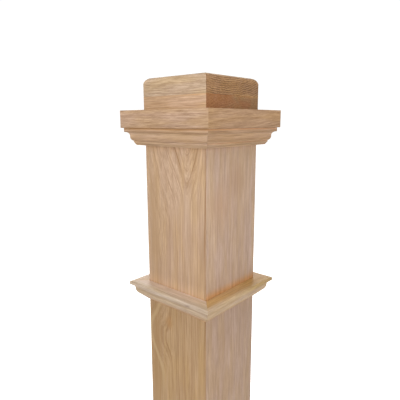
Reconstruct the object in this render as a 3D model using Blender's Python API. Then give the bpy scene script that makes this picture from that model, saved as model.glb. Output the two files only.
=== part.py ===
import math

import bmesh
import bpy
from mathutils import Matrix, Vector

# Box newel post in oak: a hollow square shaft of four mitred boards, a cap of four mitred rails on a
# moulding, a glued block with a rounded top, a moulded neck collar and a low plinth.
# Metres, +Z up. The origin is at the centre of the underside.

# Shaft
post_height = 1.397
shaft_side = 0.15875
board_thick = 0.019

# Cap rails, measured outwards from the shaft's face and inwards past its boards
cap_thick = 0.0337
cap_reach = 0.0345
cap_lap = 0.0065

# Block on the cap, glued from two layers
block_reach = 0.0011
lower_layer_thick = 0.025
upper_layer_thick = 0.036
block_round = 0.0135

# Moulding under the cap, from its top down: fillet, cove, band, ovolo, quirk and sloping bead
mould_fillet_reach = 0.0294
mould_fillet_height = 0.0077
mould_cove_lip = 0.0008
mould_cove_radius = 0.0074
mould_band_height = 0.0023
mould_ovolo_radius = 0.0084
mould_ovolo_sweep = math.radians(65)
mould_quirk = 0.001
mould_bead_height = 0.0012
mould_slope_depth = 0.0041
mould_slope_height = 0.0064

# Neck collar, from its top down: nose, cove, ovolo and a straight slope back to the shaft
neck_drop = 0.3212
neck_reach = 0.0296
neck_nose_height = 0.008
neck_nose_round = 0.003
neck_nose_ease = 0.0015
neck_cove_lip = 0.001
neck_cove_depth = 0.0059
neck_cove_height = 0.0083
neck_ovolo_radius = 0.0164
neck_ovolo_sweep = math.radians(44)
neck_foot = 0.0006
neck_height = 0.0423

# Plinth boards at the foot
plinth_thick = 0.019
plinth_height = 0.14
plinth_round = 0.006

# Clearance between pieces that touch
joint_gap = 0.0003

# Steps in a curve of the profiles and in the block's rounding
arc_steps = 8
round_steps = 6

side_names = ("front", "right", "back", "left")


# Points on an arc in the plane of distance from the axis and height
def arc(centre_d, centre_z, radius_d, radius_z, start, end):
    angles = [start + (end - start) * step / arc_steps for step in range(arc_steps + 1)]
    return [(centre_d + radius_d * math.cos(a), centre_z + radius_z * math.sin(a)) for a in angles]


def oak(name, colour, roughness):
    material = bpy.data.materials.new(name)
    material.use_nodes = True
    shader = material.node_tree.nodes["Principled BSDF"]
    shader.inputs["Base Color"].default_value = (*colour, 1.0)
    shader.inputs["Roughness"].default_value = roughness
    shader.inputs["Metallic"].default_value = 0.0
    material.diffuse_color = (*colour, 1.0)
    return material


# Cuts away what lies on the normal's side of a plane and closes the cut
def cut(mesh, point, normal):
    everything = mesh.verts[:] + mesh.edges[:] + mesh.faces[:]
    result = bmesh.ops.bisect_plane(
        mesh, geom=everything, plane_co=point, plane_no=normal, clear_outer=True
    )
    edges = [item for item in result["geom_cut"] if isinstance(item, bmesh.types.BMEdge)]
    bmesh.ops.contextual_create(mesh, geom=edges)


# One side of a square ring: the outline of (distance from the axis, height) is drawn out along
# the front and cut at both ends on the diagonals, half a gap short of them
def mitred_mesh(name, outline):
    reach = max(distance for distance, height in outline)
    mesh = bmesh.new()
    corners = [mesh.verts.new((-reach, -distance, height)) for distance, height in outline]
    end = mesh.faces.new(corners)
    drawn = bmesh.ops.extrude_face_region(mesh, geom=[end])
    moved = [item for item in drawn["geom"] if isinstance(item, bmesh.types.BMVert)]
    bmesh.ops.translate(mesh, vec=(2 * reach, 0, 0), verts=moved)
    for side in (-1, 1):
        normal = Vector((side, 1, 0)).normalized()
        cut(mesh, normal * -joint_gap / 2, normal)
    bmesh.ops.recalc_face_normals(mesh, faces=mesh.faces)
    data = bpy.data.meshes.new(name)
    mesh.to_mesh(data)
    mesh.free()
    return data


def place(name, data, material, turn=0.0):
    piece = bpy.data.objects.new(name, data)
    piece.rotation_euler = (0, 0, turn)
    if not data.materials:
        data.materials.append(material)
    bpy.context.scene.collection.objects.link(piece)
    return piece


# Four mitred pieces round the post, one for each side, which share one mesh
def square_ring(name, outline, material):
    data = mitred_mesh(name, outline)
    for side, side_name in enumerate(side_names):
        place(f"{name}_{side_name}", data, material, math.radians(90) * side)


# A solid square layer, with its four top edges rounded when a radius is given
def square_layer(name, side, low, high, material, top_round=0.0):
    mesh = bmesh.new()
    size = Matrix.Diagonal((side, side, high - low, 1.0))
    middle = Matrix.Translation((0, 0, (low + high) / 2))
    bmesh.ops.create_cube(mesh, size=1.0, matrix=middle @ size)
    if top_round:
        level = (low + high) / 2
        top = [edge for edge in mesh.edges if all(vert.co.z > level for vert in edge.verts)]
        bmesh.ops.bevel(
            mesh, geom=top, offset=top_round, segments=round_steps, profile=0.5,
            affect="EDGES", clamp_overlap=True,
        )
    bmesh.ops.recalc_face_normals(mesh, faces=mesh.faces)
    data = bpy.data.meshes.new(name)
    mesh.to_mesh(data)
    mesh.free()
    return place(name, data, material)


def rectangle(inner, outer, low, high):
    return [(inner, low), (outer, low), (outer, high), (inner, high)]


# From the shaft's face outwards along the top, then down the profile and back in
def cap_moulding_outline(face, top):
    fillet = face + mould_fillet_reach
    fillet_low = top - mould_fillet_height
    cove_start = fillet - mould_cove_lip
    band = cove_start - mould_cove_radius
    cove_low = fillet_low - mould_cove_radius
    band_low = cove_low - mould_band_height
    ovolo = arc(
        band - mould_ovolo_radius, band_low, mould_ovolo_radius, mould_ovolo_radius,
        0, -mould_ovolo_sweep,
    )
    ovolo_end, ovolo_low = ovolo[-1]
    quirk_low = ovolo_low - mould_quirk
    bead_low = quirk_low - mould_bead_height
    return [
        (face, top),
        (fillet, top),
        (fillet, fillet_low),
        *arc(cove_start, cove_low, mould_cove_radius, mould_cove_radius, math.pi / 2, math.pi),
        *ovolo,
        (ovolo_end - mould_quirk, quirk_low),
        (ovolo_end, quirk_low),
        (ovolo_end, bead_low),
        (ovolo_end - mould_slope_depth, bead_low - mould_slope_height),
        (face, bead_low - mould_slope_height),
    ]


# From the shaft's face outwards along the top, round the nose and down to the shaft again
def neck_outline(face, top):
    nose = face + neck_reach
    nose_low = top - neck_nose_height
    cove_start = nose - neck_nose_ease - neck_cove_lip
    ovolo_start = cove_start - neck_cove_depth
    cove_low = nose_low - neck_cove_height
    ovolo = arc(
        ovolo_start - neck_ovolo_radius, cove_low, neck_ovolo_radius, neck_ovolo_radius,
        0, -neck_ovolo_sweep,
    )
    foot = face + neck_foot
    low = top - neck_height
    return [
        (face, top),
        *arc(nose - neck_nose_round, top - neck_nose_round, neck_nose_round, neck_nose_round,
             math.pi / 2, 0),
        *arc(nose - neck_nose_ease, nose_low + neck_nose_ease, neck_nose_ease, neck_nose_ease,
             0, -math.pi / 2),
        *arc(cove_start, cove_low, neck_cove_depth, neck_cove_height, math.pi / 2, math.pi),
        *ovolo[1:],
        (foot, low),
        (face, low),
    ]


def plinth_outline(face):
    outer = face + plinth_thick
    return [
        (face, 0),
        (outer, 0),
        *arc(outer - plinth_round, plinth_height - plinth_round, plinth_round, plinth_round,
             0, math.pi / 2),
        (face, plinth_height),
    ]


def build_post():
    shaft_half = shaft_side / 2
    face = shaft_half + joint_gap
    upper_low = post_height - upper_layer_thick
    lower_high = upper_low - joint_gap
    lower_low = lower_high - lower_layer_thick
    cap_high = lower_low - joint_gap
    cap_low = cap_high - cap_thick
    shaft_high = cap_low - joint_gap
    neck_high = cap_low - neck_drop

    board_oak = oak("board_oak", (0.60, 0.36, 0.20), 0.62)
    cap_oak = oak("cap_oak", (0.56, 0.33, 0.18), 0.62)
    block_oak = oak("block_oak", (0.50, 0.28, 0.15), 0.66)
    mould_oak = oak("mould_oak", (0.60, 0.37, 0.21), 0.60)

    board_inner = shaft_half - board_thick
    square_ring("shaft_board", rectangle(board_inner, shaft_half, 0, shaft_high), board_oak)
    cap_inner = board_inner - cap_lap
    cap_outer = shaft_half + cap_reach
    square_ring("cap_rail", rectangle(cap_inner, cap_outer, cap_low, cap_high), cap_oak)
    square_ring("cap_moulding", cap_moulding_outline(face, shaft_high), mould_oak)
    square_ring("neck_collar", neck_outline(face, neck_high), mould_oak)
    square_ring("plinth_board", plinth_outline(face), board_oak)

    block_side = shaft_side + 2 * block_reach
    square_layer("block_lower_layer", block_side, lower_low, lower_high, block_oak)
    square_layer("block_upper_layer", block_side, upper_low, post_height, block_oak, block_round)


def clear_scene():
    for item in list(bpy.data.objects):
        bpy.data.objects.remove(item, do_unlink=True)


clear_scene()
build_post()
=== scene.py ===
import math

import bpy
from mathutils import Matrix, Vector


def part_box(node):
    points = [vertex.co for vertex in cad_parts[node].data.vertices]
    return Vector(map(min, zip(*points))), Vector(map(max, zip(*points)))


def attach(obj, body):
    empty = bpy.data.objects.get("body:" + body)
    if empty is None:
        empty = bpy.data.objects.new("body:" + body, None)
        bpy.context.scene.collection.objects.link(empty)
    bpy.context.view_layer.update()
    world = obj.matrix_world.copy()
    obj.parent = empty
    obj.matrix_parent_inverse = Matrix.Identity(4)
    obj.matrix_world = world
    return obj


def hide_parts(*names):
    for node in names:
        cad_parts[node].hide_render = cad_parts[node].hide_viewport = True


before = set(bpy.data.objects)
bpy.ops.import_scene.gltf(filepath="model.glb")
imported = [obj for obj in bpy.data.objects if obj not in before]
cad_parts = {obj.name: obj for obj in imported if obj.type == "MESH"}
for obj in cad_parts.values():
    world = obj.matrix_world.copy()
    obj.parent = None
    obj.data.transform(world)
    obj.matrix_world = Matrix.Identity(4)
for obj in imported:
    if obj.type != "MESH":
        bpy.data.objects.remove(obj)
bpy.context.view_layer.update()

# Lengths are metres unless a name ends in Mm. The near corner in the picture is at (+X, -Y).
turns = {"Front": 0, "Right": 90, "Back": 180, "Left": 270}
mitreGap = 0.0001
seamGap = 0.00003
tolerance = 0.0005
shortEdge = 0.01


# Modelling helpers

def clearSelection():
    if bpy.context.object and bpy.context.object.mode != "OBJECT":
        bpy.ops.object.mode_set(mode="OBJECT")
    bpy.ops.object.select_all(action="DESELECT")


def makeActive(piece):
    clearSelection()
    piece.select_set(True)
    bpy.context.view_layer.objects.active = piece


def rename(piece, name):
    piece.name = name
    piece.data.name = name


# Names a new primitive and puts its place and size into its mesh
def settle(name):
    piece = bpy.context.object
    rename(piece, name)
    bpy.ops.object.transform_apply(location=True, rotation=True, scale=True)
    return piece


# An arc is round unless it has another radius upwards
def pointsOnArc(centre, radius, start, end, steps, upRadius=None):
    up = upRadius or radius
    angles = [math.radians(start + (end - start) * step / steps) for step in range(steps + 1)]
    return [(centre[0] + radius * math.cos(a), centre[1] + up * math.sin(a)) for a in angles]


# Draws an outline of (distance from the axis, height) and fills it. A tiny plane is merged to one
# vertex, which is extruded from point to point, and the face is drawn out along the front.
def drawOutline(name, outline, reach):
    clearSelection()
    distance, height = outline[0]
    bpy.ops.mesh.primitive_plane_add(size=0.001, location=(-reach, -distance, height))
    piece = settle(name)
    bpy.ops.object.mode_set(mode="EDIT")
    bpy.ops.mesh.select_mode(type="VERT")
    bpy.ops.mesh.select_all(action="SELECT")
    bpy.ops.mesh.merge(type="CENTER")
    for nextDistance, nextHeight in outline[1:]:
        step = (0, distance - nextDistance, nextHeight - height)
        bpy.ops.mesh.extrude_vertices_move(TRANSFORM_OT_translate={"value": step})
        distance, height = nextDistance, nextHeight
    bpy.ops.mesh.select_all(action="SELECT")
    bpy.ops.mesh.edge_face_add()
    bpy.ops.mesh.extrude_region_move(TRANSFORM_OT_translate={"value": (2 * reach, 0, 0)})
    return piece


# Cuts both ends of the front piece on the diagonals, and leaves object mode on
def cutMitres():
    for side in (-1, 1):
        normal = Vector((side, 1, 0)).normalized()
        bpy.ops.mesh.select_all(action="SELECT")
        bpy.ops.mesh.bisect(
            plane_co=normal * -mitreGap / 2, plane_no=normal, use_fill=True, clear_outer=True
        )
    bpy.ops.mesh.select_all(action="SELECT")
    bpy.ops.mesh.normals_make_consistent(inside=False)
    bpy.ops.object.mode_set(mode="OBJECT")


def addBox(name, low, high):
    clearSelection()
    low, high = Vector(low), Vector(high)
    bpy.ops.mesh.primitive_cube_add(size=1, location=(low + high) / 2)
    bpy.context.object.scale = high - low
    piece = settle(name)
    bpy.ops.object.mode_set(mode="EDIT")
    return piece


def selectEdges(piece, chosen):
    bpy.ops.object.mode_set(mode="EDIT")
    bpy.ops.mesh.select_mode(type="EDGE")
    bpy.ops.mesh.select_all(action="DESELECT")
    bpy.ops.object.mode_set(mode="OBJECT")
    for edge in piece.data.edges:
        start, end = [piece.data.vertices[index].co for index in edge.vertices]
        edge.select = chosen(start, end)
    bpy.ops.object.mode_set(mode="EDIT")


def isUpright(start, end):
    sideways = abs(start.x - end.x) + abs(start.y - end.y)
    return abs(start.z - end.z) > shortEdge and sideways < tolerance


def roundEdges(piece, chosen, radius, segments):
    selectEdges(piece, chosen)
    bpy.ops.mesh.bevel(offset=radius, segments=segments, profile=0.5, affect="EDGES")
    bpy.ops.object.mode_set(mode="OBJECT")


def smoothByAngle(piece, degrees=32):
    makeActive(piece)
    bpy.ops.object.shade_smooth_by_angle(angle=math.radians(degrees))


# Takes a cutter away from a piece and removes the cutter
def carve(piece, cutter):
    makeActive(piece)
    modifier = piece.modifiers.new("Carve", "BOOLEAN")
    modifier.operation = "DIFFERENCE"
    modifier.solver = "EXACT"
    modifier.object = cutter
    bpy.ops.object.modifier_apply(modifier=modifier.name)
    bpy.data.objects.remove(cutter, do_unlink=True)


# The front piece is copied to the three other sides, each copy with a mesh of its own
def copyToSides(front, name):
    pieces = {"Front": front}
    for side, degrees in turns.items():
        if degrees:
            piece = front.copy()
            piece.data = front.data.copy()
            rename(piece, name + side)
            piece.data.transform(Matrix.Rotation(math.radians(degrees), 4, "Z"))
            bpy.context.scene.collection.objects.link(piece)
            pieces[side] = piece
    rename(front, name + "Front")
    return pieces


def hand(piece, material, node):
    piece.data.materials.clear()
    piece.data.materials.append(material)
    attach(piece, "root")
    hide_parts(node)


# Node helpers

def feed(tree, socket, value):
    if isinstance(value, bpy.types.NodeSocket):
        tree.links.new(value, socket)
    else:
        socket.default_value = value


def calculate(tree, operation, *values, clamp=False):
    node = tree.nodes.new("ShaderNodeMath")
    node.operation = operation
    node.use_clamp = clamp
    for socket, value in zip(node.inputs, values):
        feed(tree, socket, value)
    return node.outputs["Value"]


def multiply(tree, first, second, clamp=False):
    return calculate(tree, "MULTIPLY", first, second, clamp=clamp)


def add(tree, first, second):
    return calculate(tree, "ADD", first, second)


def subtract(tree, first, second):
    return calculate(tree, "SUBTRACT", first, second)


def splitVector(tree, vector):
    node = tree.nodes.new("ShaderNodeSeparateXYZ")
    feed(tree, node.inputs[0], vector)
    return node.outputs


def joinVector(tree, x, y, z):
    node = tree.nodes.new("ShaderNodeCombineXYZ")
    for socket, value in zip(node.inputs, (x, y, z)):
        feed(tree, socket, value)
    return node.outputs["Vector"]


def stretch(tree, vector, scale):
    node = tree.nodes.new("ShaderNodeVectorMath")
    node.operation = "MULTIPLY"
    feed(tree, node.inputs[0], vector)
    feed(tree, node.inputs[1], scale)
    return node.outputs["Vector"]


def noise(tree, vector, seed, detail=2.0, roughness=0.5, distortion=0.0):
    node = tree.nodes.new("ShaderNodeTexNoise")
    node.noise_dimensions = "4D"
    feed(tree, node.inputs["Vector"], vector)
    feed(tree, node.inputs["W"], seed)
    node.inputs["Scale"].default_value = 1.0
    node.inputs["Detail"].default_value = detail
    node.inputs["Roughness"].default_value = roughness
    node.inputs["Distortion"].default_value = distortion
    return node.outputs["Fac"]


def remap(tree, value, low, high, newLow=0.0, newHigh=1.0, kind="SMOOTHSTEP"):
    node = tree.nodes.new("ShaderNodeMapRange")
    node.interpolation_type = kind
    for name, number in (("Value", value), ("From Min", low), ("From Max", high),
                         ("To Min", newLow), ("To Max", newHigh)):
        feed(tree, node.inputs[name], number)
    return node.outputs["Result"]


def mixColour(tree, factor, first, second, blend="MIX"):
    node = tree.nodes.new("ShaderNodeMix")
    node.data_type = "RGBA"
    node.blend_type = blend
    feed(tree, node.inputs[0], factor)
    feed(tree, node.inputs[6], first)
    feed(tree, node.inputs[7], second)
    return node.outputs[2]


# Colours are given as red, green and blue
def paintOver(tree, factor, colour, paint):
    return mixColour(tree, factor, colour, (*paint, 1))


def tinted(tree, factor, colour, tint):
    return mixColour(tree, factor, colour, (*tint, 1), "MULTIPLY")


# Turns a pattern that runs from 0 to 1 into one that swings about nothing
def swing(tree, pattern, amount):
    return multiply(tree, subtract(tree, pattern, 0.5), amount)


# Multiplies by a shade whose green and blue fall faster than its red, as they do in oak
def shadeWarmly(tree, factor, colour, shade, greenPower, bluePower):
    node = tree.nodes.new("ShaderNodeCombineColor")
    feed(tree, node.inputs[0], shade)
    feed(tree, node.inputs[1], calculate(tree, "POWER", shade, greenPower))
    feed(tree, node.inputs[2], calculate(tree, "POWER", shade, bluePower))
    return mixColour(tree, factor, colour, node.outputs[0], "MULTIPLY")


def place(tree, vector, location=(0, 0, 0), degrees=(0, 0, 0)):
    node = tree.nodes.new("ShaderNodeMapping")
    feed(tree, node.inputs["Vector"], vector)
    node.inputs["Location"].default_value = location
    node.inputs["Rotation"].default_value = [math.radians(angle) for angle in degrees]
    return node.outputs["Vector"]


# A socket's kind follows from its default: a number, a vector of three or a colour of four
def newGroup(name, inputs, outputs):
    group = bpy.data.node_groups.new(name, "ShaderNodeTree")
    kinds = {1: "NodeSocketFloat", 3: "NodeSocketVector", 4: "NodeSocketColor"}
    for direction, sockets in (("INPUT", inputs), ("OUTPUT", outputs)):
        for socketName, default in sockets.items():
            kind = kinds[len(default) if isinstance(default, tuple) else 1]
            socket = group.interface.new_socket(socketName, in_out=direction, socket_type=kind)
            socket.default_value = default
    start = group.nodes.new("NodeGroupInput")
    end = group.nodes.new("NodeGroupOutput")
    return group, start.outputs, end.inputs


# Oak

# Scales of the patterns, for each mm across, deep and along the grain
grainScales = {
    "slow": (0.018, 0.018, 0.0032),
    "fine": (0.11, 0.11, 0.016),
    "patches": (0.03, 0.03, 0.0045),
    "fibres": (0.75, 0.75, 0.014),
    "pores": (2.6, 2.6, 0.09),
    "scatter": (0.5, 0.5, 0.03),
    "golden": (0.045, 0.045, 0.006),
}
# Limits between which a pattern comes in, and what it then runs from and to
grainLimits = {
    "bands": (0.3, 0.7),
    "patches": (0.32, 0.68),
    "lines": (0.46, 0.72),
    "pores": (0.56, 0.7),
    "scatter": (0.42, 0.6, 0.1, 0.45),
    "fibres": (0.25, 0.75, 0.72, 1.26),
    "golden": (0.4, 0.62),
}


# Board coordinates run with the pith on their Z axis, so that growth rings lie round it.
# Lift shifts the rings along the board and so draws the cathedral figure.
def makeOakGroup():
    group, given, result = newGroup(
        "Oak figure",
        {
            "Vector": (0, 0, 0),
            "Lift Mm": 0.0,
            "Ring Mm": 3.3,
            "Wobble Mm": 3.0,
            "Waver Mm": 1.6,
            "Seed": 0.0,
            "Ring Contrast": 0.5,
            "Early Share": 0.4,
            "Band Contrast": 0.5,
            "Line Contrast": 0.3,
            "Pores": 0.5,
            "Fibres": 0.5,
            "Dashes": 0.5,
            "Dash Scale": (0.24, 0.05, 0.012),
            "Pale": (0.6, 0.42, 0.28, 1),
            "Tan": (0.5, 0.33, 0.2, 1),
            "Brown": (0.33, 0.19, 0.1, 1),
        },
        {"Colour": (0, 0, 0, 1), "Height": 0.0, "Ring Place": 0.0},
    )
    seed = given["Seed"]
    inMm = stretch(group, given["Vector"], (1000, 1000, 1000))
    parts = splitVector(group, inMm)

    def grain(name, detail=2.0, roughness=0.5):
        return noise(group, stretch(group, inMm, grainScales[name]), seed, detail, roughness)

    def limited(name, pattern):
        return remap(group, pattern, *grainLimits[name])

    across = multiply(group, parts["X"], parts["X"])
    deep = multiply(group, parts["Y"], parts["Y"])
    radius = calculate(group, "SQRT", add(group, across, deep))

    # Slow wander of the rings, then a finer waver, both drawn out along the grain
    slow = multiply(group, swing(group, grain("slow", 1.0), given["Wobble Mm"]), 2.0)
    fine = swing(group, grain("fine"), given["Waver Mm"])
    radius = add(group, radius, add(group, slow, fine))
    radius = subtract(group, radius, given["Lift Mm"])
    rings = calculate(group, "DIVIDE", radius, given["Ring Mm"])

    # Good and lean years make wide and narrow rings
    years = group.nodes.new("ShaderNodeTexNoise")
    years.noise_dimensions = "1D"
    yearPlace = add(group, multiply(group, rings, 0.31), seed)
    feed(group, years.inputs["W"], yearPlace)
    years.inputs["Scale"].default_value = 1.0
    years.inputs["Detail"].default_value = 0.0
    rings = add(group, rings, swing(group, years.outputs["Fac"], 2.2))
    ringNumber = calculate(group, "FLOOR", rings)
    within = calculate(group, "FRACT", rings)
    chance = group.nodes.new("ShaderNodeTexWhiteNoise")
    chance.noise_dimensions = "1D"
    feed(group, chance.inputs["W"], add(group, ringNumber, seed))
    chance = chance.outputs["Value"]

    # Early wood starts sharply and fades into the late wood of the same ring
    earlyEnd = calculate(group, "MULTIPLY_ADD", chance, 0.15, given["Early Share"])
    fade = remap(group, within, 0.0, earlyEnd, 1.0, 0.0)
    onset = remap(group, within, 0.9, 1.0)
    early = calculate(group, "MAXIMUM", fade, onset)
    strength = calculate(group, "MULTIPLY_ADD", calculate(group, "POWER", chance, 1.4), 0.8, 0.2)
    early = multiply(group, early, strength, clamp=True)

    # Broad bands, several rings wide, that follow the rings
    bandAcross = multiply(group, radius, 0.085)
    bandAlong = multiply(group, parts["Z"], 0.0022)
    bands = noise(group, joinVector(group, bandAcross, 0.0, bandAlong), seed, 2.0, 0.6)
    patches = limited("patches", grain("patches"))
    bands = multiply(group, limited("bands", bands), 0.55)
    bands = calculate(group, "MULTIPLY_ADD", patches, 0.45, bands)

    # Fine lines that run with the rings
    linePlace = joinVector(
        group, multiply(group, radius, 0.42),
        multiply(group, parts["X"], 0.02), multiply(group, parts["Z"], 0.006),
    )
    lines = limited("lines", noise(group, linePlace, seed, 3.0, 0.6))

    # Fibres, short dashes and open pores, drawn out along the grain
    fibres = grain("fibres", 4.0, 0.65)
    sideways = add(group, parts["X"], parts["Y"])
    dashes = stretch(group, joinVector(group, radius, sideways, parts["Z"]), given["Dash Scale"])
    dashes = noise(group, dashes, seed, 4.0, 0.78, 0.25)
    pores = limited("pores", grain("pores", 1.0))
    scatter = limited("scatter", grain("scatter", 1.0))
    pores = multiply(group, pores, calculate(group, "MAXIMUM", early, scatter))
    pores = multiply(group, pores, given["Pores"])

    bands = multiply(group, bands, given["Band Contrast"], clamp=True)
    colour = mixColour(group, bands, given["Pale"], given["Tan"])
    lines = multiply(group, lines, given["Line Contrast"], clamp=True)
    colour = mixColour(group, lines, colour, given["Brown"])
    ringShade = multiply(group, early, given["Ring Contrast"], clamp=True)
    colour = mixColour(group, ringShade, colour, given["Brown"])
    fibreShade = remap(group, fibres, *grainLimits["fibres"], "LINEAR")
    colour = shadeWarmly(group, given["Fibres"], colour, fibreShade, 1.15, 1.35)
    dashes = subtract(group, dashes, 0.48)
    dashShade = calculate(group, "MULTIPLY_ADD", dashes, given["Dashes"], 1.0)
    colour = shadeWarmly(group, 1.0, colour, dashShade, 1.2, 1.5)

    # Some parts of a board are more golden and others pinker
    goldenSeed = add(group, seed, 40.0)
    golden = stretch(group, inMm, grainScales["golden"])
    golden = limited("golden", noise(group, golden, goldenSeed, 3.0, 0.6))
    colour = tinted(group, golden, colour, (1.0, 0.975, 0.84))
    colour = mixColour(group, multiply(group, pores, 0.8), colour, given["Brown"])

    height = multiply(group, fibres, 0.35)
    height = subtract(group, height, multiply(group, early, 0.25))
    height = subtract(group, height, pores)
    feed(group, result["Colour"], colour)
    feed(group, result["Height"], height)
    feed(group, result["Ring Place"], radius)
    return group


# A soft stripe along a board, with edges that wander
def makeStripeGroup():
    group, given, result = newGroup(
        "Board stripe",
        {
            "Vector": (0, 0, 0),
            "Centre": 0.0,
            "Half Width": 0.01,
            "Softness": 0.006,
            "Seed": 0.0,
        },
        {"Mask": 0.0},
    )
    parts = splitVector(group, given["Vector"])
    wander = noise(group, stretch(group, given["Vector"], (30, 30, 5)), given["Seed"])
    wander = swing(group, wander, 0.012)
    offset = subtract(group, parts["X"], given["Centre"])
    offset = calculate(group, "ABSOLUTE", add(group, offset, wander))
    inner = subtract(group, given["Half Width"], given["Softness"])
    outer = add(group, given["Half Width"], given["Softness"])
    stripe = remap(group, offset, inner, outer, 1.0, 0.0)
    broken = noise(group, stretch(group, given["Vector"], (260, 260, 9)), given["Seed"])
    broken = remap(group, broken, 0.3, 0.62, 0.35, 1.0)
    feed(group, result["Mask"], multiply(group, stripe, broken, clamp=True))
    return group


# A round blotch with ragged edges at one point of a board
def makeBlotchGroup():
    group, given, result = newGroup(
        "Board blotch",
        {
            "Vector": (0, 0, 0),
            "Centre": (0, 0, 0),
            "Radius": 0.03,
            "Length": 0.06,
            "Ragged": 0.9,
            "Seed": 0.0,
        },
        {"Mask": 0.0},
    )
    apart = group.nodes.new("ShaderNodeVectorMath")
    apart.operation = "SUBTRACT"
    feed(group, apart.inputs[0], given["Vector"])
    feed(group, apart.inputs[1], given["Centre"])
    parts = splitVector(group, apart.outputs[0])
    across = calculate(group, "DIVIDE", parts["X"], given["Radius"])
    along = calculate(group, "DIVIDE", parts["Z"], given["Length"])
    across = multiply(group, across, across)
    along = multiply(group, along, along)
    distance = calculate(group, "SQRT", add(group, across, along))
    ragged = noise(group, stretch(group, given["Vector"], (70, 70, 18)), given["Seed"], 3.0)
    distance = add(group, distance, swing(group, ragged, given["Ragged"]))
    feed(group, result["Mask"], remap(group, distance, 0.0, 1.0, 1.0, 0.0))
    return group


# A soft level band round the post, for painted shade or light in a corner, hollow or edge, or a
# glue line
def makeLevelGroup():
    group, given, result = newGroup(
        "Level band",
        {"Vector": (0, 0, 0), "Height": 0.0, "Half Width": 0.003},
        {"Mask": 0.0},
    )
    offset = subtract(group, splitVector(group, given["Vector"])["Z"], given["Height"])
    offset = calculate(group, "ABSOLUTE", offset)
    feed(group, result["Mask"], remap(group, offset, 0.0, given["Half Width"], 1.0, 0.0))
    return group


oakGroup = makeOakGroup()
stripeGroup = makeStripeGroup()
blotchGroup = makeBlotchGroup()
levelGroup = makeLevelGroup()


def useGroup(tree, group, **values):
    node = tree.nodes.new("ShaderNodeGroup")
    node.node_tree = group
    for name, value in values.items():
        feed(tree, node.inputs[name.replace("_", " ")], value)
    return node.outputs


# Each shade is a height, a half width, a tint and a strength, mostly painted light or shade
def shadeLevels(tree, facing, colour, shades):
    for height, halfWidth, tint, strength in shades:
        band = useGroup(tree, levelGroup, Vector=facing, Height=height, Half_Width=halfWidth)
        factor = multiply(tree, band["Mask"], strength)
        colour = tinted(tree, factor, colour, tint)
    return colour


def levelPaint(shades):
    def paint(tree, facing, colour, figure):
        return shadeLevels(tree, facing, colour, shades)
    return paint


def ringDistance(tree, figure, placeMm):
    away = subtract(tree, figure["Ring Place"], placeMm)
    return calculate(tree, "ABSOLUTE", away)


def paintBlotch(tree, facing, colour, centre, radius, length, seed, strength, paint, ragged=0.9):
    blotch = useGroup(
        tree, blotchGroup, Vector=facing, Centre=centre, Radius=radius, Length=length,
        Ragged=ragged, Seed=seed,
    )
    factor = multiply(tree, blotch["Mask"], strength)
    return paintOver(tree, factor, colour, paint)


# What the pieces' oak has in common, where a piece's own look says nothing else
usualOak = {
    "grain": "x",
    "waverMm": 1.6,
    "early": 0.4,
    "lines": 0.3,
    "pores": 0.5,
    "fibres": 0.55,
    "dashScale": (0.24, 0.05, 0.012),
    "roughness": 0.62,
    "rougher": 0.14,
    "smoother": 0.06,
    "specular": 0.3,
    "bump": 0.35,
    "bumpDepth": 0.0003,
}


# A board is turned to the front first, then laid with its grain on Z and its pith at the origin
def makeOak(name, turn, pieceLook, lift=None, paint=None):
    look = {**usualOak, **pieceLook}
    material = bpy.data.materials.new(name)
    material.use_nodes = True
    tree = material.node_tree
    shader = tree.nodes["Principled BSDF"]
    coordinates = tree.nodes.new("ShaderNodeTexCoord")
    facing = place(tree, coordinates.outputs["Object"], degrees=(0, 0, -turn))
    laid = facing
    if look["grain"] == "x":
        laid = place(tree, facing, degrees=(0, 90, 0))
    if "tilt" in look:
        laid = place(tree, laid, degrees=look["tilt"])
    board = place(tree, laid, location=[-value for value in look["pith"]])
    figure = useGroup(
        tree, oakGroup, Vector=board, Lift_Mm=lift(tree, facing) if lift else 0.0,
        Ring_Mm=look["ringMm"], Wobble_Mm=look["wobbleMm"], Waver_Mm=look["waverMm"],
        Seed=look["seed"], Ring_Contrast=look["rings"], Early_Share=look["early"],
        Band_Contrast=look["bands"], Line_Contrast=look["lines"], Pores=look["pores"],
        Fibres=look["fibres"], Dashes=look["dashes"], Dash_Scale=look["dashScale"],
        Pale=(*look["pale"], 1), Tan=(*look["tan"], 1), Brown=(*look["brown"], 1),
    )
    colour = figure["Colour"]
    if paint:
        colour = paint(tree, facing, colour, figure)
    feed(tree, shader.inputs["Base Color"], colour)
    rough, smooth = look["roughness"] + look["rougher"], look["roughness"] - look["smoother"]
    roughness = remap(tree, figure["Height"], -0.6, 0.4, rough, smooth)
    feed(tree, shader.inputs["Roughness"], roughness)
    shader.inputs["Specular IOR Level"].default_value = look["specular"]
    bump = tree.nodes.new("ShaderNodeBump")
    bump.inputs["Strength"].default_value = look["bump"]
    bump.inputs["Distance"].default_value = look["bumpDepth"]
    feed(tree, bump.inputs["Height"], figure["Height"])
    feed(tree, shader.inputs["Normal"], bump.outputs["Normal"])
    return material


# Gives the four pieces of a ring their oak, and hands them over
def dressRing(pieces, oakName, node, look, changes, lifts={}, paints={}):
    for side, piece in pieces.items():
        sideLook = {**look, **changes[side]}
        oak = makeOak(oakName + side, turns[side], sideLook, lifts.get(side), paints.get(side))
        hand(piece, oak, node + side.lower())


# Shaft: four mitred boards

print("stage: shaft boards")

shaftValues = {"arris": 0.0006, "arrisSteps": 3}
low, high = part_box("shaft_board_front")
shaftHalf = -low.y
shaftTop = high.z
boardInner = -high.y


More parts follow.
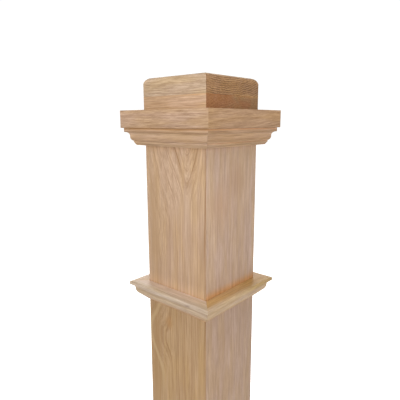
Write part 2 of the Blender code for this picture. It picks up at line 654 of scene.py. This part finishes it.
def makeShaftBoard():
    piece = addBox("shaftFront", (-shaftHalf, -shaftHalf, 0), (shaftHalf, -boardInner, shaftTop))
    cutMitres()

    def outerCorner(start, end):
        return isUpright(start, end) and start.y < -shaftHalf + tolerance

    roundEdges(piece, outerCorner, shaftValues["arris"], shaftValues["arrisSteps"])
    smoothByAngle(piece)
    return piece


shaftLooks = {
    "Front": {
        "pith": (0.0317, -0.0734, 0.0), "ringMm": 11.0, "wobbleMm": 3.4, "seed": 2.0,
        "rings": 0.3, "early": 0.12, "bands": 0.55, "dashes": 1.15,
        "dashScale": (0.26, 0.17, 0.009), "pale": (0.478, 0.331, 0.225),
        "tan": (0.405, 0.258, 0.157), "brown": (0.27, 0.145, 0.068),
    },
    "Right": {
        "pith": (-0.21, 0.03, 0.0), "ringMm": 2.9, "wobbleMm": 2.0, "seed": 7.0, "rings": 0.2,
        "bands": 0.2, "lines": 0.2, "pores": 0.45, "fibres": 0.5, "dashes": 1.1,
        "dashScale": (0.24, 0.05, 0.014), "pale": (0.494, 0.345, 0.255),
        "tan": (0.43, 0.285, 0.195), "brown": (0.31, 0.18, 0.105), "roughness": 0.64,
    },
    "Back": {
        "pith": (-0.024, -0.012, 0.0), "ringMm": 3.1, "wobbleMm": 4.0, "seed": 12.0, "rings": 0.4,
        "bands": 0.7, "dashes": 1.2, "pale": (0.54, 0.37, 0.245), "tan": (0.45, 0.285, 0.17),
        "brown": (0.32, 0.175, 0.085),
    },
    "Left": {
        "pith": (0.18, 0.02, 0.0), "ringMm": 3.0, "wobbleMm": 2.2, "seed": 19.0, "rings": 0.34,
        "bands": 0.7, "pores": 0.45, "fibres": 0.5, "dashes": 1.2, "pale": (0.53, 0.365, 0.25),
        "tan": (0.44, 0.285, 0.18), "brown": (0.32, 0.18, 0.095), "roughness": 0.63,
    },
}


# The cathedral opens upwards, from lower down on its left and hardly at all at the board's right
# edge. A slope is how far the rings shift for each mm of height.
cathedralValues = {
    "startAcross": (-0.04, 0.03),
    "start": (1.115, 1.18),
    "bendMm": 40.0,
    "slopeAcross": (0.005, 0.058),
    "slope": (0.29, 0.38),
    "edgeAcross": (0.05, 0.085),
    "edgeLoss": 0.27,
}

# Swirls that push the grain aside, each as a centre, a radius, a length and a lift in mm
frontSwirls = [
    ((-0.072, 0, 0.868), 0.078, 0.1, 36.0),
    ((-0.045, 0, 1.07), 0.03, 0.05, 8.0),
]

# Dark lines that follow the rings, each as a ring place in mm, a half width and a strength
frontLines = [
    (-1.0, 1.8, 1.0),
    (-9.0, 0.9, 0.35),
    (-19.0, 1.2, 0.6),
    (11.5, 1.3, 0.6),
    (28.0, 1.4, 0.6),
    (46.5, 1.6, 0.6),
    (72.0, 1.6, 0.5),
]

# The brown streak on the left and the dark line along the near corner, each as a place across the
# board, a half width, a softness, a seed, two heights, the strengths at them and a colour
frontStripes = [
    (-0.059, 0.012, 0.007, 4.0, (1.18, 1.25), (0.85, 0.0), (0.385, 0.24, 0.125)),
    (0.0765, 0.0016, 0.0016, 9.0, (0.99, 1.12), (0.5, 0.85), (0.28, 0.155, 0.07)),
]

# Heights between which one tone or painted shade of the boards gives way to the next
toneHeights = {
    "underCollar": (0.93, 0.97),
    "middle": (1.05, 1.22),
    "upper": (1.16, 1.25),
    "paleSwirl": (0.62, 0.84),
    "swirlTone": (0.3, 0.86),
}
frontValues = {
    "lineColour": (0.27, 0.145, 0.063),
    "middleTint": (0.935, 0.925, 0.94),
    "upperTint": (1.05, 1.045, 1.045),
    "palePlaceMm": 74.0,
    "paleFadeMm": (1.0, 7.0),
    "paleStrength": 0.5,
    "paleColour": (0.56, 0.42, 0.28),
    "lowTint": (0.845, 0.795, 0.615),
}
rightValues = {
    "middleTint": (0.935, 0.93, 0.95),
    "lowTint": (0.897, 0.88, 0.848),
}

# Soft blotches, each as a centre, a radius, a length, a seed, a strength and a colour
swirlHeart = ((-0.021, 0, 0.903), 0.014, 0.024, 8.0, 0.75, (0.42, 0.235, 0.11))
rightBlotches = [
    ((-0.037, 0, 1.158), 0.045, 0.07, 6.0, 0.5, (0.46, 0.28, 0.17)),
    ((0.012, 0, 1.2), 0.04, 0.07, 14.0, 0.55, (0.42, 0.26, 0.165)),
]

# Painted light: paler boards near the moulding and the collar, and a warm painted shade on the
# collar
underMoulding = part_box("cap_moulding_front")[0].z
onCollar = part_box("neck_collar_front")[1].z
frontPaintedLight = [
    (underMoulding, 0.014, (1.05, 1.02, 0.97), 1.0),
    (onCollar, 0.031, (1.25, 1.255, 1.24), 1.0),
    (onCollar, 0.005, (1.02, 0.86, 0.66), 0.3),
]
rightPaintedLight = [
    (underMoulding, 0.014, (1.08, 1.07, 1.1), 1.0),
    (onCollar, 0.0195, (1.21, 0.89, 0.47), 0.9),
]


def frontLift(tree, facing):
    v = cathedralValues
    parts = splitVector(tree, facing)
    start = remap(tree, parts["X"], *v["startAcross"], *v["start"])
    aboveMm = subtract(tree, parts["Z"], start)
    aboveMm = multiply(tree, aboveMm, 1000)
    aboveMm = calculate(tree, "SMOOTH_MAX", aboveMm, 0.0, v["bendMm"])
    slope = remap(tree, parts["X"], *v["slopeAcross"], *v["slope"])
    atEdge = remap(tree, parts["X"], *v["edgeAcross"], 0.0, v["edgeLoss"])
    slope = subtract(tree, slope, atEdge)
    opening = multiply(tree, aboveMm, slope)
    for centre, radius, length, liftMm in frontSwirls:
        swirl = useGroup(
            tree, blotchGroup, Vector=facing, Centre=centre, Radius=radius, Length=length,
            Ragged=0.1, Seed=3.0,
        )
        opening = calculate(tree, "MULTIPLY_ADD", swirl["Mask"], liftMm, opening)
    return opening


def frontPaint(tree, facing, colour, figure):
    v = frontValues
    height = splitVector(tree, facing)["Z"]
    worn = noise(tree, stretch(tree, facing, (90, 90, 22)), 5.0)
    worn = remap(tree, worn, 0.36, 0.56, 0.5, 1.0)
    for ringPlace, halfWidth, strength in frontLines:
        away = ringDistance(tree, figure, ringPlace)
        line = remap(tree, away, 0.0, halfWidth, strength, 0.0)
        line = multiply(tree, line, worn)
        colour = paintOver(tree, line, colour, v["lineColour"])
    for centre, halfWidth, softness, seed, heights, strengths, paint in frontStripes:
        stripe = useGroup(
            tree, stripeGroup, Vector=facing, Centre=centre, Half_Width=halfWidth,
            Softness=softness, Seed=seed,
        )
        strength = remap(tree, height, *heights, *strengths)
        colour = paintOver(tree, multiply(tree, stripe["Mask"], strength), colour, paint)

    # Painted shade darkens the board from the middle down, and painted light pales it near the top
    middle = remap(tree, height, *toneHeights["middle"], 1.0, 0.0)
    colour = tinted(tree, middle, colour, v["middleTint"])
    upper = remap(tree, height, *toneHeights["upper"])
    colour = tinted(tree, upper, colour, v["upperTint"])

    # Below the collar: painted shade and a more golden tone, with a pale line round a brown swirl
    lower = remap(tree, height, *toneHeights["underCollar"], 1.0, 0.0)
    strength = remap(tree, height, *toneHeights["paleSwirl"], 0.0, v["paleStrength"])
    away = ringDistance(tree, figure, v["palePlaceMm"])
    pale = multiply(tree, remap(tree, away, *v["paleFadeMm"], strength, 0.0), lower)
    colour = paintOver(tree, pale, colour, v["paleColour"])
    colour = paintBlotch(tree, facing, colour, *swirlHeart)
    fading = remap(tree, height, *toneHeights["swirlTone"], 0.35, 1.0)
    lower = multiply(tree, lower, fading)
    colour = tinted(tree, lower, colour, v["lowTint"])
    return shadeLevels(tree, facing, colour, frontPaintedLight)


def rightPaint(tree, facing, colour, figure):
    for blotch in rightBlotches:
        colour = paintBlotch(tree, facing, colour, *blotch)
    height = splitVector(tree, facing)["Z"]
    # Painted shade darkens the board from the middle down and again below the collar
    middle = remap(tree, height, *toneHeights["middle"], 1.0, 0.0)
    colour = tinted(tree, middle, colour, rightValues["middleTint"])
    lower = remap(tree, height, *toneHeights["underCollar"], 1.0, 0.0)
    colour = tinted(tree, lower, colour, rightValues["lowTint"])
    return shadeLevels(tree, facing, colour, rightPaintedLight)


dressRing(
    copyToSides(makeShaftBoard(), "shaft"), "oakShaft", "shaft_board_",
    {"grain": "z"}, shaftLooks, {"Front": frontLift}, {"Front": frontPaint, "Right": rightPaint},
)


# Cap: four mitred rails

print("stage: cap rails")

railValues = {"arris": 0.0005, "arrisSteps": 2}
low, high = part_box("cap_rail_front")
railOuter = -low.y
railInner = -high.y
railLow = low.z
railHigh = high.z


def makeCapRail():
    low, high = (-railOuter, -railOuter, railLow), (railOuter, -railInner, railHigh)
    piece = addBox("capRailFront", low, high)
    cutMitres()

    def outerEdge(start, end):
        return max(start.y, end.y) < -railOuter + tolerance

    roundEdges(piece, outerEdge, railValues["arris"], railValues["arrisSteps"])
    smoothByAngle(piece)
    return piece


railLook = {
    "pith": (1.24, 0.02, 0.0), "ringMm": 3.4, "wobbleMm": 3.0, "seed": 23.0, "rings": 0.35,
    "bands": 0.3, "pores": 0.55, "dashes": 2.2, "dashScale": (0.46, 0.36, 0.026),
    "pale": (0.413, 0.27, 0.179), "tan": (0.345, 0.212, 0.13), "brown": (0.25, 0.135, 0.065),
}
railChanges = {
    "Front": {},
    "Right": {"tilt": (0, 4, 0), "wobbleMm": 5.0, "seed": 31.0, "rings": 0.2, "dashes": 1.8,
              "pale": (0.416, 0.255, 0.147), "tan": (0.35, 0.2, 0.106)},
    "Back": {"seed": 37.0},
    "Left": {"seed": 41.0, "wobbleMm": 5.0},
}

# Painted shade browns the front rail along its lower edge
frontRailPaintedShade = [(railLow, 0.004, (0.83, 0.75, 0.6), 1.0)]
dressRing(
    copyToSides(makeCapRail(), "capRail"), "oakCapRail", "cap_rail_",
    railLook, railChanges, paints={"Front": levelPaint(frontRailPaintedShade)},
)


# Moulding under the cap: four mitred strips

print("stage: cap moulding")

mouldingValues = {
    "filletReach": 0.0294,
    "filletHeight": 0.0077,
    "ease": 0.0004,
    "coveLip": 0.0008,
    "coveRadius": 0.0074,
    "bandHeight": 0.0023,
    "ovoloRadius": 0.0084,
    "ovoloSweep": 65,
    "quirk": 0.001,
    "beadHeight": 0.0012,
    "slopeDepth": 0.0041,
    "arcSteps": 16,
    "easeSteps": 3,
}
low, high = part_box("cap_moulding_front")
face = -high.y
mouldingTop = high.z
mouldingLow = low.z


def makeCapMoulding():
    m = mouldingValues
    fillet = face + m["filletReach"]
    filletLow = mouldingTop - m["filletHeight"]
    easedEdge = fillet - m["ease"]
    coveStart = fillet - m["coveLip"]
    coveLow = filletLow - m["coveRadius"]
    ovoloCentre = (coveStart - m["coveRadius"] - m["ovoloRadius"], coveLow - m["bandHeight"])
    ovolo = pointsOnArc(ovoloCentre, m["ovoloRadius"], 0, -m["ovoloSweep"], m["arcSteps"])
    ovoloEnd, ovoloLow = ovolo[-1]
    quirkLow = ovoloLow - m["quirk"]
    outline = [(face, mouldingTop)]
    outline += pointsOnArc((easedEdge, mouldingTop - m["ease"]), m["ease"], 90, 0, m["easeSteps"])
    outline += pointsOnArc((easedEdge, filletLow + m["ease"]), m["ease"], 0, -90, m["easeSteps"])
    outline += pointsOnArc((coveStart, coveLow), m["coveRadius"], 90, 180, m["arcSteps"])
    outline += ovolo
    outline += [
        (ovoloEnd - m["quirk"], quirkLow),
        (ovoloEnd, quirkLow),
        (ovoloEnd, quirkLow - m["beadHeight"]),
        (ovoloEnd - m["slopeDepth"], mouldingLow),
        (face, mouldingLow),
    ]
    piece = drawOutline("capMouldingFront", outline, fillet)
    cutMitres()
    smoothByAngle(piece)
    return piece


mouldingLook = {
    "pith": (1.24, 0.02, 0.0), "ringMm": 3.0, "wobbleMm": 2.5, "seed": 43.0, "rings": 0.3,
    "bands": 0.35, "dashes": 1.6, "dashScale": (0.4, 0.3, 0.015), "pale": (0.49, 0.332, 0.227),
    "tan": (0.42, 0.265, 0.163), "brown": (0.33, 0.185, 0.09), "roughness": 0.6,
}
mouldingChanges = {
    "Front": {},
    "Right": {"seed": 47.0, "pale": (0.486, 0.31, 0.197), "tan": (0.405, 0.246, 0.143)},
    "Back": {"seed": 53.0},
    "Left": {"seed": 59.0},
}

# Painted shade browns the hollow and undersides; on the right, painted light pales the top and
# quirk
mouldingPaintedShade = [
    (mouldingTop, 0.0056, (0.94, 0.76, 0.52), 1.0),
    (mouldingTop - 0.0071, 0.0037, (0.66, 0.6, 0.53), 1.0),
    (mouldingTop - 0.0216, 0.005, (0.82, 0.77, 0.7), 1.0),
    (mouldingTop - 0.031, 0.005, (0.76, 0.74, 0.69), 1.0),
]
rightMouldingPaintedLight = [
    (mouldingTop, 0.0042, (1.36, 1.19, 1.05), 1.0),
    (mouldingTop - 0.0068, 0.0035, (0.86, 0.86, 0.86), 1.0),
    (mouldingTop - 0.0205, 0.0055, (0.8, 0.76, 0.69), 1.0),
    (mouldingTop - 0.0256, 0.002, (1.35, 1.35, 1.35), 1.0),
    (mouldingTop - 0.0305, 0.005, (0.8, 0.8, 0.77), 1.0),
]
mouldingPaints = {side: levelPaint(mouldingPaintedShade) for side in turns}
mouldingPaints["Right"] = levelPaint(rightMouldingPaintedLight)
dressRing(
    copyToSides(makeCapMoulding(), "capMoulding"), "oakCapMoulding", "cap_moulding_",
    mouldingLook, mouldingChanges, paints=mouldingPaints,
)


# Neck collar: four mitred strips

print("stage: neck collar")

collarValues = {
    "reach": 0.0296,
    "noseHeight": 0.008,
    "noseRound": 0.003,
    "noseEase": 0.0015,
    "coveLip": 0.001,
    "coveDepth": 0.0059,
    "coveHeight": 0.0083,
    "ovoloRadius": 0.0164,
    "ovoloSweep": 44,
    "foot": 0.0006,
    "noseSteps": 10,
    "easeSteps": 6,
    "arcSteps": 16,
    "smoothDegrees": 40,
}
chipValues = {
    "place": (0.0585, -0.1092, 0.9724),
    "size": (0.0065, 0.0019, 0.0017),
    "shade": (0.0095, 0.0052, 2.0, 0.9, (0.17, 0.11, 0.1)),
    "ragged": 0.3,
}
low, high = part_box("neck_collar_front")
collarTop = high.z
collarLow = low.z


def makeNeckCollar():
    c = collarValues
    nose = face + c["reach"]
    noseLow = collarTop - c["noseHeight"]
    coveStart = nose - c["noseEase"] - c["coveLip"]
    coveLow = noseLow - c["coveHeight"]
    ovoloStart = coveStart - c["coveDepth"]
    noseCentre = (nose - c["noseRound"], collarTop - c["noseRound"])
    easeCentre = (nose - c["noseEase"], noseLow + c["noseEase"])
    ovoloCentre = (ovoloStart - c["ovoloRadius"], coveLow)
    outline = [(face, collarTop)]
    outline += pointsOnArc(noseCentre, c["noseRound"], 90, 0, c["noseSteps"])
    outline += pointsOnArc(easeCentre, c["noseEase"], 0, -90, c["easeSteps"])
    outline += pointsOnArc(
        (coveStart, coveLow), c["coveDepth"], 90, 180, c["arcSteps"], c["coveHeight"],
    )
    outline += pointsOnArc(ovoloCentre, c["ovoloRadius"], 0, -c["ovoloSweep"], c["arcSteps"])[1:]
    outline += [(face + c["foot"], collarLow), (face, collarLow)]
    piece = drawOutline("neckCollarFront", outline, nose)
    cutMitres()
    smoothByAngle(piece, c["smoothDegrees"])
    return piece


collarLook = {
    "pith": (0.9, 0.0, 0.0), "ringMm": 3.2, "wobbleMm": 2.5, "seed": 61.0, "rings": 0.25,
    "bands": 0.5, "dashes": 1.2, "dashScale": (0.26, 0.2, 0.018), "pale": (0.56, 0.43, 0.338),
    "tan": (0.48, 0.348, 0.248), "brown": (0.35, 0.21, 0.11), "roughness": 0.55, "specular": 0.4,
}
collarChanges = {
    "Front": {},
    "Right": {"seed": 67.0, "pale": (0.51, 0.37, 0.24), "tan": (0.44, 0.3, 0.175)},
    "Back": {"seed": 71.0, "pale": (0.455, 0.305, 0.165), "tan": (0.395, 0.25, 0.122)},
    "Left": {"seed": 73.0},
}

# Strengths of the collar's shades on each strip (inner, cove and foot are painted shade), where the
# inner one starts, and the tint of all that is below the hollow
collarShades = {
    "Front": {
        "inner": 0.15, "innerStart": -0.098, "outer": 1.0, "far": 0.0,
        "nose": 1.0, "cove": 0.5, "foot": 1.0, "lowTint": (0.9, 0.87, 0.83), "chipped": True,
    },
    "Right": {
        "inner": 1.0, "innerStart": -0.107, "outer": 0.0, "far": 1.0,
        "nose": 0.5, "cove": 0.3, "foot": 0.35, "lowTint": (1.03, 1.11, 1.34),
    },
    "Back": {
        "inner": 1.0, "innerStart": -0.107, "outer": 0.0, "far": 0.6,
        "nose": 0.3, "cove": 0.3, "foot": 0.3, "lowTint": (0.95, 0.94, 0.92),
    },
    "Left": {
        "inner": 0.7, "innerStart": -0.107, "outer": 0.0, "far": 0.0,
        "nose": 0.6, "cove": 0.5, "foot": 0.5, "lowTint": (0.92, 0.9, 0.87),
    },
}
# The inner, cove and foot tints are painted shade
collarTints = {
    "inner": (0.95, 0.82, 0.58),
    "outer": (0.86, 0.88, 0.85),
    "far": (0.9, 0.86, 0.66),
    "nose": (0.93, 0.93, 0.96),
    "cove": (0.66, 0.59, 0.52),
    "foot": (0.85, 0.72, 0.55),
}

# Where the shades come and go: across and along a strip, and in depth below its top
collarPlaces = {
    "innerWidth": 0.012,
    "outerAcross": (-0.104, -0.093),
    "farAlong": (-0.01, 0.05),
    "noseStart": (0.0002, 0.0012),
    "noseEnd": (0.008, 0.0105),
    "farEnd": (0.007, 0.014),
    "lowStart": (0.01, 0.018),
    "coveDepth": 0.0135,
    "coveHalfWidth": 0.0055,
    "footHalfWidth": 0.026,
}


# The collar's top is browner with painted shade where it runs into the shaft, and browner along its
# outer edge. Its far end is more golden, its nose greyer, and painted shade darkens the hollow and
# foot.
def collarPaint(shades):
    at, tints = collarPlaces, collarTints
    coveHeight = collarTop - at["coveDepth"]
    coveShade = (coveHeight, at["coveHalfWidth"], tints["cove"], shades["cove"])
    footShade = (collarLow, at["footHalfWidth"], tints["foot"], shades["foot"])

    def paint(tree, facing, colour, figure):
        parts = splitVector(tree, facing)
        depth = subtract(tree, collarTop, parts["Z"])
        # Painted shade where the top runs into the shaft
        innerEnd = shades["innerStart"] + at["innerWidth"]
        inner = remap(tree, parts["Y"], shades["innerStart"], innerEnd, 0.0, shades["inner"])
        colour = tinted(tree, inner, colour, tints["inner"])
        outer = remap(tree, parts["Y"], *at["outerAcross"], shades["outer"], 0.0)
        colour = tinted(tree, outer, colour, tints["outer"])
        far = remap(tree, parts["X"], *at["farAlong"], 0.0, shades["far"])
        onTop = remap(tree, depth, *at["farEnd"], 1.0, 0.0)
        colour = tinted(tree, multiply(tree, far, onTop), colour, tints["far"])
        nose = remap(tree, depth, *at["noseStart"], 0.0, shades["nose"])
        above = remap(tree, depth, *at["noseEnd"], 1.0, 0.0)
        colour = tinted(tree, multiply(tree, nose, above), colour, tints["nose"])
        # Painted shade in the hollow
        colour = shadeLevels(tree, facing, colour, [coveShade])
        low = remap(tree, depth, *at["lowStart"])
        colour = tinted(tree, low, colour, shades["lowTint"])
        # Painted shade at the foot
        colour = shadeLevels(tree, facing, colour, [footShade])
        if "chipped" in shades:
            colour = paintBlotch(
                tree, facing, colour, chipValues["place"], *chipValues["shade"],
                ragged=chipValues["ragged"],
            )
        return colour
    return paint


# A small chip under the nose of the front strip
def chipCollar(piece):
    clearSelection()
    bpy.ops.mesh.primitive_ico_sphere_add(subdivisions=3, radius=1, location=chipValues["place"])
    bpy.context.object.scale = chipValues["size"]
    carve(piece, settle("chipCutter"))
    smoothByAngle(piece, collarValues["smoothDegrees"])


collars = copyToSides(makeNeckCollar(), "neckCollar")
chipCollar(collars["Front"])
dressRing(
    collars, "oakNeckCollar", "neck_collar_", collarLook, collarChanges,
    paints={side: collarPaint(shades) for side, shades in collarShades.items()},
)


# Plinth: four mitred boards

print("stage: plinth boards")

plinthValues = {"round": 0.006, "roundSteps": 12}
low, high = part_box("plinth_board_front")
plinthOuter = -low.y
plinthTop = high.z


def makePlinthBoard():
    radius = plinthValues["round"]
    centre = (plinthOuter - radius, plinthTop - radius)
    outline = [(face, 0), (plinthOuter, 0)]
    outline += pointsOnArc(centre, radius, 0, 90, plinthValues["roundSteps"])
    outline += [(face, plinthTop)]
    piece = drawOutline("plinthFront", outline, plinthOuter)
    cutMitres()
    smoothByAngle(piece)
    return piece


plinthLook = {
    "pith": (0.07, -0.02, 0.0), "ringMm": 3.6, "wobbleMm": 6.0, "seed": 79.0, "rings": 0.35,
    "bands": 0.6, "dashes": 1.3, "dashScale": (0.24, 0.1, 0.016), "pale": (0.53, 0.365, 0.245),
    "tan": (0.44, 0.28, 0.17), "brown": (0.32, 0.18, 0.09),
}
plinthChanges = {
    "Front": {},
    "Right": {"seed": 83.0, "pith": (0.11, -0.03, 0.0)},
    "Back": {"seed": 89.0},
    "Left": {"seed": 97.0, "pith": (0.03, -0.03, 0.0)},
}
dressRing(
    copyToSides(makePlinthBoard(), "plinth"), "oakPlinth", "plinth_board_",
    plinthLook, plinthChanges,
)


# Block on the cap: two glued layers

print("stage: block layers")

blockValues = {"round": 0.0135, "roundSteps": 12, "arris": 0.0005, "arrisSteps": 2}
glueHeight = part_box("block_upper_layer")[0].z


def makeBlockLayer(name, node, rounded):
    low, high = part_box(node)
    if not rounded:
        low.z = railHigh + seamGap
        high.z = glueHeight - seamGap
    piece = addBox(name, low, high)

    def topEdge(start, end):
        return min(start.z, end.z) > high.z - tolerance

    bpy.ops.object.mode_set(mode="OBJECT")
    if rounded:
        roundEdges(piece, topEdge, blockValues["round"], blockValues["roundSteps"])
    roundEdges(piece, isUpright, blockValues["arris"], blockValues["arrisSteps"])
    smoothByAngle(piece)
    return piece


upperLook = {
    "pith": (1.62, -0.03, 0.0), "ringMm": 3.1, "wobbleMm": 3.4, "waverMm": 5.0, "seed": 101.0,
    "rings": 0.5, "early": 0.3, "bands": 0.2, "lines": 0.4, "fibres": 0.5, "dashes": 2.4,
    "dashScale": (0.5, 0.4, 0.03), "pale": (0.45, 0.32, 0.216), "tan": (0.385, 0.26, 0.16),
    "brown": (0.25, 0.145, 0.072), "roughness": 0.66,
}
lowerLook = {
    "pith": (1.1, 0.05, 0.0), "ringMm": 3.2, "wobbleMm": 6.0, "seed": 107.0, "rings": 0.3,
    "bands": 0.2, "lines": 0.4, "pores": 0.4, "fibres": 0.5, "dashes": 1.6,
    "dashScale": (0.36, 0.3, 0.02), "pale": (0.503, 0.336, 0.218), "tan": (0.45, 0.28, 0.167),
    "brown": (0.33, 0.18, 0.095), "roughness": 0.66,
}

# Tint, lines, reddish patches and warm glue line of each layer's end grain
upperEnd = {"tint": (0.82, 0.65, 0.47), "lines": 0.8, "lineGapMm": 3.9, "red": 0.0, "glue": 0.0}
lowerEnd = {"tint": (0.61, 0.53, 0.385), "lines": 0.2, "lineGapMm": 4.6, "red": 1.0, "glue": 0.8}
endTints = {
    "line": (0.12, 0.058, 0.024),
    "red": (1.07, 0.87, 0.8),
    "glue": (0.98, 0.82, 0.64),
    "paleGlue": (1.34, 1.4, 1.32),
}


# End grain drinks in more, so faces across the grain are darker and browner. The glue line is warm
# on the front, near the corner, and pale at the far end of the end grain.
def endGrain(end):
    def paint(tree, facing, colour, figure):
        coordinates = tree.nodes.new("ShaderNodeTexCoord")
        across = calculate(tree, "ABSOLUTE", splitVector(tree, coordinates.outputs["Normal"])["X"])
        across = remap(tree, across, 0.35, 0.8)
        colour = tinted(tree, across, colour, end["tint"])

        within = calculate(tree, "DIVIDE", figure["Ring Place"], end["lineGapMm"])
        within = subtract(tree, calculate(tree, "FRACT", within), 0.5)
        within = calculate(tree, "ABSOLUTE", within)
        worn = noise(tree, stretch(tree, facing, (60, 60, 60)), 11.0)
        worn = remap(tree, worn, 0.35, 0.6, 0.4 * end["lines"], end["lines"])
        lines = remap(tree, within, 0.08, 0.34, worn, 0.0)
        lines = multiply(tree, lines, across, clamp=True)
        colour = paintOver(tree, lines, colour, endTints["line"])

        parts = splitVector(tree, facing)
        patches = noise(tree, stretch(tree, facing, (45, 45, 60)), 3.0)
        patches = calculate(tree, "MULTIPLY_ADD", parts["Y"], 2.2, patches)
        patches = remap(tree, patches, 0.38, 0.72, end["red"], 0.0)
        patches = multiply(tree, patches, across)
        colour = tinted(tree, patches, colour, endTints["red"])
        warm = remap(tree, parts["X"], 0.01, 0.06, 0.3 * end["glue"], end["glue"])
        paler = multiply(tree, remap(tree, parts["Y"], -0.03, 0.06), across)
        return shadeLevels(tree, facing, colour, [
            (glueHeight, 0.0025, endTints["glue"], warm),
            (glueHeight, 0.006, endTints["paleGlue"], paler),
        ])
    return paint


upper = makeBlockLayer("blockUpper", "block_upper_layer", True)
oak = makeOak("oakBlockUpper", 0, upperLook, paint=endGrain(upperEnd))
hand(upper, oak, "block_upper_layer")
lower = makeBlockLayer("blockLower", "block_lower_layer", False)
oak = makeOak("oakBlockLower", 0, lowerLook, paint=endGrain(lowerEnd))
hand(lower, oak, "block_lower_layer")


# Stage, light and camera

print("stage: light and camera")

stageValues = {
    "skyLight": 0.5,
    "skySeen": 1.05,
    "floorSide": 40,
    "floorBase": (0.85, 0.85, 0.85),
    "floorGlow": 0.75,
    "floorRoughness": 0.9,
    "floorSpecular": 0.1,
}
# Each lamp is a place, the point that it faces, a side, a power and a colour
lampValues = {
    "keyLight": ((-0.6, -2.6, 1.7), (0, 0, 1.1), 2.2, 29, (1.0, 0.99, 0.97)),
    "fillLight": ((2.3, -1.4, 1.3), (0, 0, 1.1), 2.0, 35, (0.97, 0.98, 1.0)),
    "topLight": ((0.6, -0.7, 3.2), (0, 0, 1.0), 1.5, 24, (1.0, 1.0, 1.0)),
    "backLight": ((-2.1, 2.1, 1.9), (0, 0, 0.9), 2.0, 44, (1.0, 0.99, 0.98)),
}
cameraValues = {
    "place": (0.5392, -0.6214, 1.3142),
    "turn": 41.18,
    "tilt": 78.95,
    "roll": -0.16,
    "sensorMm": 36,
    "lensMm": 36.293,
}


# The sky and the floor look white to the camera, and light the post less than they show
def lightSky():
    world = bpy.data.worlds.new("studio")
    world.use_nodes = True
    tree = world.node_tree
    background = tree.nodes["Background"]
    background.inputs["Color"].default_value = (1.0, 1.0, 1.0, 1)
    seen = tree.nodes.new("ShaderNodeLightPath").outputs["Is Camera Ray"]
    more = stageValues["skySeen"] - stageValues["skyLight"]
    sky = calculate(tree, "MULTIPLY_ADD", seen, more, stageValues["skyLight"])
    feed(tree, background.inputs["Strength"], sky)
    bpy.context.scene.world = world


def layFloor():
    clearSelection()
    bpy.ops.mesh.primitive_plane_add(size=stageValues["floorSide"], location=(0, 0, 0))
    floor = bpy.context.object
    floor.name = "floor"
    material = bpy.data.materials.new("floorPaper")
    material.use_nodes = True
    tree = material.node_tree
    shader = tree.nodes["Principled BSDF"]
    shader.inputs["Base Color"].default_value = (*stageValues["floorBase"], 1)
    shader.inputs["Emission Strength"].default_value = stageValues["floorGlow"]
    seen = tree.nodes.new("ShaderNodeLightPath").outputs["Is Camera Ray"]
    feed(tree, shader.inputs["Emission Color"], seen)
    shader.inputs["Roughness"].default_value = stageValues["floorRoughness"]
    shader.inputs["Specular IOR Level"].default_value = stageValues["floorSpecular"]
    floor.data.materials.append(material)


def addLamp(name, location, target, side, power, colour):
    clearSelection()
    bpy.ops.object.light_add(type="AREA", location=location)
    lamp = bpy.context.object
    lamp.name = name
    lamp.data.shape = "RECTANGLE"
    lamp.data.size = side
    lamp.data.size_y = side
    lamp.data.energy = power
    lamp.data.color = colour
    direction = Vector(target) - Vector(location)
    lamp.rotation_euler = direction.to_track_quat("-Z", "Y").to_euler()


def addCamera():
    clearSelection()
    turned = Matrix.Rotation(math.radians(cameraValues["turn"]), 3, "Z")
    turned = turned @ Matrix.Rotation(math.radians(cameraValues["tilt"]), 3, "X")
    turned = turned @ Matrix.Rotation(math.radians(cameraValues["roll"]), 3, "Z")
    bpy.ops.object.camera_add(location=cameraValues["place"], rotation=turned.to_euler())
    camera = bpy.context.object
    camera.data.sensor_width = cameraValues["sensorMm"]
    camera.data.lens = cameraValues["lensMm"]
    camera.data.dof.use_dof = False
    bpy.context.scene.camera = camera


lightSky()
layFloor()
for name, values in lampValues.items():
    addLamp(name, *values)
addCamera()
bpy.context.scene.view_settings.view_transform = "Standard"
bpy.context.scene.view_settings.look = "None"
